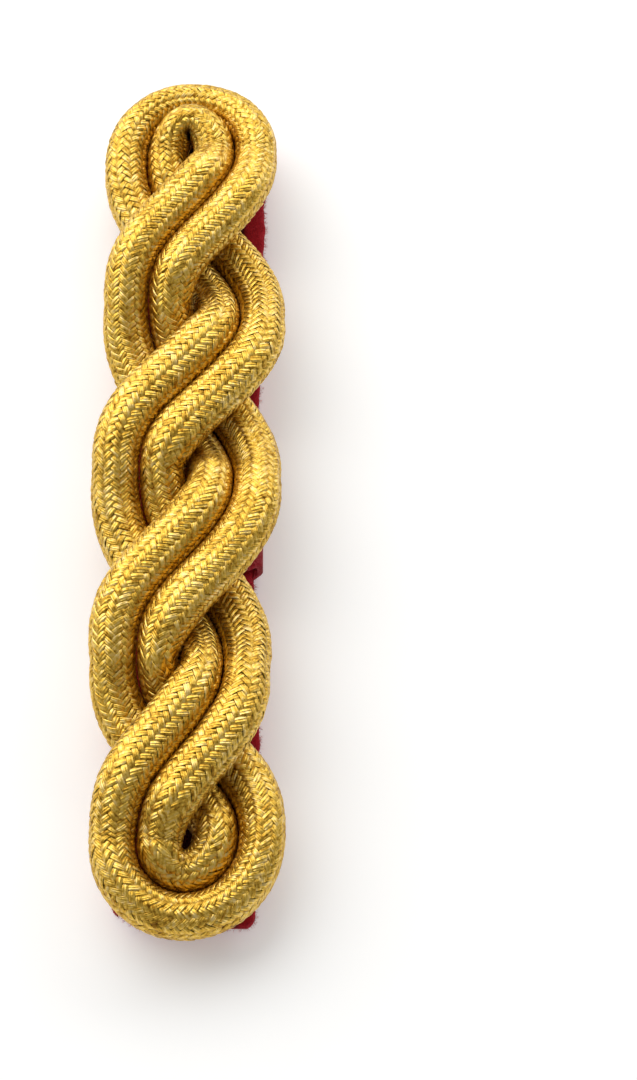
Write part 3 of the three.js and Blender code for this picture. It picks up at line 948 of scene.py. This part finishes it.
# How deep in the cords' shade each point of the felt lies, from 0 to 1.
def coveredShare(points):
    gap = np.full(len(points), np.inf)
    for route in routes.values():
        for centre, section in zip(route["centre"] / mm, route["section"] / mm):
            away = np.hypot(points[:, 0] - centre[0], points[:, 1] - centre[1]) - section[0]
            gap = np.minimum(gap, away)
    middles = np.vstack([route["centre"] / mm for route in routes.values()])
    for row in np.unique(points[:, 1]):
        across = middles[np.abs(middles[:, 1] - row) < felt["shadeReach"], 0]
        if len(across):  # the eyes of the loops lie between cords
            between = (points[:, 0] > across.min()) & (points[:, 0] < across.max())
            gap[(points[:, 1] == row) & between] = 0
    inside = smoothStep(felt["shadeHalf"] - np.abs(points[:, 0] - backMiddle / mm))
    return inside * (1 - smoothStep((gap - felt["shadeFrom"]) / felt["shadeRun"]))


def feltPiece():
    top, bottom = feltHigh.y / mm, feltLow.y / mm - felt["overhang"]
    sides = [curveThrough([(top - share * (top - bottom), half) for share, half in felt[label]])
             for label in ("collarSide", "buttonSide")]

    def halfWidth(side, level, phase):
        inset = float(max(roundedDrop(top - level, felt["topCorners"][side]),
                          roundedDrop(level - bottom, felt["footCorners"][side])))
        smoothed = sum(sides[side](level + step) for step in (-3, -1.5, 0, 1.5, 3)) / 5
        ripple = math.sin(level * 0.9 + phase) + 0.6 * math.sin(level * 2.3 + 2 * phase)
        return smoothed - inset + felt["wander"] * ripple

    def pressed(x, y):
        away = np.abs(y - keeperLevel(x)) - keeper["length"] / 2
        return felt["press"] * smoothStep(1 - away / felt["pressRun"])

    def lumps(x, y):
        return felt["lump"] * np.sin(x * 1.1 + y * 0.37) * np.sin(y * 0.83 - x * 0.2)

    levels = edgeSteps(bottom, top, felt["edge"], 230)
    for topCorner, footCorner in zip(felt["topCorners"], felt["footCorners"]):
        levels = np.r_[levels, np.linspace(top - topCorner, top, 9), np.linspace(bottom, bottom + footCorner, 12)]
    rows, rims = strapRows(
        np.unique(levels), lambda y: -halfWidth(1, y, 1.0), lambda y: halfWidth(0, y, 4.0),
        lambda x, y: felt["high"] - pressed(x, y) - felt["lumpRoom"] + lumps(x, y),
        lambda x, y: felt["low"] + felt["lumpRoom"] + lumps(x + 3, y), felt["edge"], 44)
    bare = np.abs(rows[:, :, 0]) > tongue["half"] - 0.3
    upperSide = rows[:, :, 2] > (felt["low"] + felt["high"]) / 2
    rows[:, :, 0] += backMiddle / mm
    covered = coveredShare(rows.reshape(-1, 3)).reshape(rims.shape) * upperSide
    nap = np.maximum(rims, felt["napShare"] * (bare & ~upperSide))
    return withHole(strapPiece("feltStrip", rows, {"rim": rims, "nap": nap, "covered": covered}, feltCloth), feltCloth)


# The leather tongue: a tip with two unequal shoulders, and an end sewn down along two seams with a puff between.
tongue = {
    "thickness": 1.2,
    "underside": 1.2,
    "half": 8.85,
    "edge": 0.28,
    "tipFlat": 19,
    "tipBend": 16,
    "flap": 2.6,
    "flapSlant": 0.056,
    "flapWave": 0.12,
    "puff": 8.2,
    "puffDepth": 1.1,
    "seamDepth": 0.72,
    "needleDepth": 0.5,
    "clear": 0.01,  # nothing of it comes nearer to the table
    # outline of the tip: distance from the middle line and from the end on each side
    "collarShoulder": [(1.0, 0), (2.1, 0.08), (3.0, 0.28), (4.0, 0.65), (5.5, 1.45), (7.0, 2.4), (8.1, 3.15),
                       (8.6, 3.6), (8.85, 4.2)],
    "buttonShoulder": [(0.8, 0), (1.9, 0.08), (2.9, 0.26), (3.7, 0.6), (4.3, 1.1), (5.0, 1.95), (6.1, 3.5),
                       (7.8, 6.0), (8.5, 6.9), (8.85, 7.9)],
    # outline of the sewn end: distance from the middle line and from the flap's edge
    "collarFoot": [(9.55, 0), (9.5, 2.6), (9.35, 6.0), (9.3, 10.0), (9.1, 15.0), (8.95, 30.0), (8.85, 45.0)],
    "buttonFoot": [(9.4, 0), (9.2, 2.6), (8.9, 6.0), (8.85, 45.0)],
    "needleHoles": [(-3.9, 2.0), (-5.2, 1.9), (-5.9, 2.25)],  # from the middle line and the flap's edge
}
lowerSeam = tongueLow.y + tongue["flap"]
upperSeam = lowerSeam + tongue["puff"]


def tongueSide(label):
    shoulder = [(tongueHigh.y - inset, x) for x, inset in tongue[label + "Shoulder"]]
    foot = [(tongueLow.y + inset, x) for x, inset in tongue[label + "Foot"]]
    return curveThrough(foot + shoulder)


def tongueLift(y):
    flap = smoothStep((lowerSeam - y) / tongue["flap"])
    tip = smoothStep((y - (tongueHigh.y - tongue["tipFlat"] - tongue["tipBend"])) / tongue["tipBend"])
    return tongue["underside"] * (1 - flap - tip)


def bell(away, width):
    return np.exp(-(away / width) ** 2)


# Each seam is cut in sharply below and slopes in gently from above.
def seamGroove(y):
    return sum(bell(y - seam, np.where(y > seam, gentle, 0.4)) for seam, gentle in ((upperSeam, 2.1), (lowerSeam, 1.1)))


def tongueUnder(x, y):
    share = np.clip((y - lowerSeam) / tongue["puff"], 0, 1)
    puff = tongue["puffDepth"] * np.sin(math.pi * share ** 0.9) ** 1.3
    puff *= 1 - 0.45 * np.clip(np.abs(x) / tongue["half"], 0, 1) ** 8
    # the seams pucker the leather beside them, and the free length waves a little
    pucker = 0.1 * np.sin(x * 4.6 + 0.9 * np.sin(x * 1.3)) * bell(y - upperSeam - 1.1, 1.5)
    pucker += 0.05 * np.sin(x * 5.1 + 2) * bell(y - lowerSeam - 0.7, 0.8)
    waves = 0.07 * np.sin(y * 0.21 + 1) * np.sin(x * 0.33 + 0.5) * smoothStep((tongueHigh.y - 30 - y) / 10)
    dents = sum(np.exp(-((x - across) ** 2 + (y - tongueLow.y - inset) ** 2) / 0.05)
                for across, inset in tongue["needleHoles"])
    under = tongueLift(y) - puff + tongue["seamDepth"] * seamGroove(y) + pucker + waves + tongue["needleDepth"] * dents
    return np.maximum(under, tongue["clear"])


def tonguePiece():
    top, bottom = tongueHigh.y, tongueLow.y
    levels = np.unique(np.r_[
        edgeSteps(bottom, top, tongue["edge"], 150),
        np.linspace(bottom, lowerSeam + 1.5, 26),
        np.linspace(upperSeam - 1.2, upperSeam + 4.5, 30),
        np.linspace(top - 8, top, 40),
    ])
    left, right = tongueSide("button"), tongueSide("collar")
    rows, rims = strapRows(levels, lambda y: -left(y), right, lambda x, y: tongueLift(y) + tongue["thickness"],
                           tongueUnder, tongue["edge"], 78)
    # Painted shade along the seams' grooves.
    foldShadeMask = np.clip(seamGroove(rows[:, :, 1]), 0, 1)
    # the flap's edge is cut a little askew and waves
    loose = 1 - smoothStep((rows[:, :, 1] - bottom) / (tongue["flap"] - 0.6))
    rows[:, :, 1] += loose * (tongue["flapSlant"] * rows[:, :, 0] + tongue["flapWave"] * np.sin(rows[:, :, 0] * 0.9))
    rows[:, :, 0] += backMiddle / mm
    return withHole(strapPiece("tongueLeather", rows, {"rim": rims, "foldShade": foldShadeMask}, tongueLeather), cutEdge)


# The keeper: a band of leather all the way round the felt and the tongue.
def keeperPath():
    bend = keeper["round"] - keeper["thickness"] / 2
    half, low, high = (size - keeper["thickness"] / 2 for size in (keeper["half"], keeper["thickness"], keeper["top"]))
    for corner, (centreX, centreZ) in enumerate(((half, high), (-half, high), (-half, low), (half, low))):
        inwardX, inwardZ = -math.copysign(bend, centreX), bend * (1 if centreZ == low else -1)
        for i in range(keeper["arcSteps"] + 1):
            angle = (corner + i / keeper["arcSteps"]) * math.pi / 2
            nx, nz = math.cos(angle), math.sin(angle)
            x, z = centreX + inwardX + bend * nx, centreZ + inwardZ + bend * nz
            yield x, z, nx, nz
        if corner in (0, 2):
            for i in range(1, keeper["flatSteps"]):
                yield x * (1 - 2 * i / keeper["flatSteps"]), z, nx, nz


def keeperPiece():
    halfLength = keeper["length"] / 2
    across = edgeSteps(-halfLength, halfLength, keeper["edge"], 30)
    inset = np.minimum(across - across[0], across[-1] - across)
    depth = keeper["thickness"] / 2 - roundedDrop(inset, keeper["edge"])
    section = np.r_[np.c_[across, depth], np.c_[across, -depth][::-1]]
    rim = 1 - np.clip(inset / keeper["edge"], 0, 1)
    lower = np.clip(-section[:, 0] / halfLength, 0, 1)
    rows, rims, foldShadeMask = [], [], []
    for x, z, nx, nz in keeperPath():
        spotX = x + nx * section[:, 1]
        tucked = keeper["tuck"] * smoothStep(spotX / keeper["half"] * 4 - 3) * lower
        rows.append(np.c_[spotX + backMiddle / mm, keeperLevel(spotX) + section[:, 0] + tucked,
                          z + nz * section[:, 1]])
        rims.append(np.r_[rim, rim[::-1]])
        # Painted shade towards the band's folded sides.
        foldShadeMask.append(smoothStep((np.abs(spotX) - keeper["half"] + keeper["foldShadeRun"]) / keeper["foldShadeRun"]))
    return strapPiece("keeperLeather", np.array(rows), {"rim": rims, "foldShade": foldShadeMask}, keeperLeather, closed=True)


feltStrip = finishPiece(feltPiece(), "red_felt", "felt_backing")
finishPiece(tonguePiece(), "red_leather", "leather_tongue")
finishPiece(keeperPiece(), "red_leather", "keeper_band")
print("felt and leather cut")

# Loose wool fibres on the felt, thickest along its edges. Lengths are in millimetres.
nap = {
    "density": 11.0,  # fibres to a square millimetre
    "length": 0.6,
    "thickness": 0.034,
    "bend": (0.1, 0.6),  # sideways and outwards, in shares of the length
    "tip": (0.55, 0.85),
    "sizes": (0.4, 1.2),
    "sides": 3,
    "seed": 5,
}
napValues = {"density": nap["density"] / mm ** 2, **inMetres(nap, "length", "thickness"), "seed": nap["seed"],
             "material": fibre}


def napTree():
    tree, inputs = startTree("feltNap", napValues)
    seed, length = inputs["seed"], inputs["length"]
    scatter = addNode(tree, "GeometryNodeDistributePointsOnFaces", {
        "Mesh": inputs["Geometry"], "Density": readStored(tree, "nap") * inputs["density"], "Seed": seed,
    }, distribute_method="RANDOM").outputs
    bend, tip = (vectorOf(tree, length * sideways, 0, length * outwards)
                 for sideways, outwards in (nap["bend"], nap["tip"]))
    strand = roundThread(tree, bentLine(tree, (0, 0, 0), bend, tip, nap["sides"]), inputs["thickness"] * 0.5,
                         nap["sides"])
    fibres = fieldOf(tree, "GeometryNodeInstanceOnPoints", {
        "Points": Field(tree, scatter["Points"]), "Instance": strand, "Rotation": Field(tree, scatter["Rotation"]),
        "Scale": randomFloat(tree, seed + 1, *nap["sizes"])})
    lean = randomVector(tree, seed + 2, (-1.0, -1.0, 0.0), (1.0, 1.0, 2 * math.pi))
    fibres = fieldOf(tree, "GeometryNodeRotateInstances", {
        "Instances": fibres, "Rotation": lean, "Local Space": True})
    fibres = storeFloats(tree, fibres, "INSTANCE", fibreTone=randomFloat(tree, seed + 3))
    return endTree(tree, fibres, inputs["material"], soft=False)


feltFibres = finishPiece(bakeTree(feltStrip, napTree(), napValues, "feltFibres"), "red_felt")
print("felt nap", len(feltFibres.data.polygons), "faces")

# Stitches along the two seams. Lengths are in millimetres.
stitch = {"length": 1.35, "spacing": 1.9, "thickness": 0.32, "arch": 0.14, "skew": 0.12, "sides": 8, "seed": 3}
stitchValues = {**inMetres(stitch, "length", "spacing", "thickness", "arch"), "seed": stitch["seed"],
                "material": silk}


def stitchTree():
    tree, inputs = startTree("seamStitches", stitchValues)
    points = fieldOf(tree, "GeometryNodeCurveToPoints", {
        "Curve": curveOf(tree, inputs), "Length": inputs["spacing"]}, "Points", mode="LENGTH")
    start, end = (vectorOf(tree, inputs["length"] * half, 0, inputs["arch"]) for half in (-0.5, 0.5))
    crown = vectorOf(tree, 0, 0, inputs["arch"] * -1.2)
    thread = roundThread(tree, bentLine(tree, start, crown, end, stitch["sides"]), inputs["thickness"] * 0.5,
                         stitch["sides"])
    lean = randomVector(tree, inputs["seed"], (0.0, 0.0, -stitch["skew"]), (0.0, 0.0, stitch["skew"]))
    row = fieldOf(tree, "GeometryNodeInstanceOnPoints", {"Points": points, "Instance": thread, "Rotation": lean})
    return endTree(tree, row, inputs["material"])


def seamLines():
    across = np.linspace(-tongue["half"] + 1, tongue["half"] - 1, 9)
    for seam in (lowerSeam, upperSeam):
        level = np.full(len(across), seam + 0.1)
        yield np.c_[across + backMiddle / mm, level, tongueUnder(across, level)] * mm


# The thread's tail: two plies that leave the leather at a knot and end on the table.
threadTail = {
    "route": [(-8.8, -58.6, 2.0), (-9.2, -59.3, 1.8), (-9.6, -60.1, 1.3), (-9.9, -60.9, 0.7), (-9.9, -61.6, 0.32),
              (-9.6, -62.2, 0.28), (-9.2, -62.5, 0.28)],
    "ply": 0.13,  # radius of each of the two plies
    "turns": 4.5,
    "steps": 60,
    "knot": 0.42,
    "knotAt": 12,  # step
    "knotTurn": 3.4 * math.pi,
    "sides": 8,
}
tailValues = {**inMetres(threadTail, "ply"), "material": silk}


def tailTree():
    tree, inputs = startTree("threadTail", tailValues)
    return endTree(tree, roundThread(tree, curveOf(tree, inputs), inputs["ply"], threadTail["sides"]),
                   inputs["material"])


def tailLines():
    route = np.array(threadTail["route"])
    fine = np.linspace(0, 1, threadTail["steps"])
    share = np.linspace(0, 1, len(route))
    middle = relaxed(np.stack([np.interp(fine, share, column) for column in route.T], axis=1), 6)
    tangent = unitRows(np.gradient(middle, axis=0))
    side = unitRows(np.cross(tangent, (0, 0, 1)))
    up = np.cross(side, tangent)
    angle = (fine * threadTail["turns"] * 2 * math.pi)[:, None]
    wind = (side * np.cos(angle) + up * np.sin(angle)) * threadTail["ply"]
    turn = np.linspace(0, threadTail["knotTurn"], 40)[:, None]
    at = threadTail["knotAt"]
    loop = middle[at] + threadTail["knot"] * 0.6 * (side[at] * np.cos(turn) + up[at] * np.sin(turn) * 0.8)
    loop += tangent[at] * (turn / turn[-1] - 0.5) * threadTail["knot"]
    return [(middle + wind) * mm, (middle - wind) * mm, loop * mm]


for name, lines, tree, values in (("seamStitches", seamLines(), stitchTree(), stitchValues),
                                  ("threadTail", tailLines(), tailTree(), tailValues)):
    guide = lineObject(name + "Lines", lines)
    finishPiece(bakeTree(guide, tree, values, name), "red_felt")
    bpy.data.objects.remove(guide)
print("seams sewn")

# Table and light
stage = {
    "tableHalf": 3.0,
    "table": (0.92, 0.92, 0.915),
    "tableGlow": 0.22,
    "glow": (1, 1, 0.99),
    "surround": 0.33,
    # place, size, power and colour
    "windowLeft": ((-0.45, 0.52, 0.6), 1.5, 11.0, (1, 0.99, 0.975)),
    "fillRight": ((0.5, 0.68, 0.42), 0.9, 3.3, (1, 1, 1)),
}


def addTable():
    mesh = bpy.data.meshes.new("paleTable")
    half = stage["tableHalf"]
    mesh.from_pydata([(-half, -half, 0), (half, -half, 0), (half, half, 0), (-half, half, 0)], [], [(0, 1, 2, 3)])
    mesh.materials.append(newMaterial("palePaper", Base_Color=stage["table"], Roughness=0.95,
                                      Emission_Color=stage["glow"], Emission_Strength=stage["tableGlow"])[0])
    addObject("paleTable", mesh)


def addWorld():
    world = bpy.data.worlds.new("studio")
    world.use_nodes = True
    background = world.node_tree.nodes["Background"]
    background.inputs["Color"].default_value = (1, 1, 1, 1)
    background.inputs["Strength"].default_value = stage["surround"]
    scene.world = world


def addLight(name):
    place, size, power, colour = stage[name]
    data = bpy.data.lights.new(name, "AREA")
    data.shape, data.size, data.energy, data.color = "DISK", size, power, colour
    lamp = addObject(name, data)
    lamp.location = place
    lamp.rotation_euler = Vector(place).to_track_quat("Z", "Y").to_euler()


addTable()
addWorld()
addLight("windowLeft")
addLight("fillRight")
scene.view_settings.view_transform = "Standard"
print("stage set")
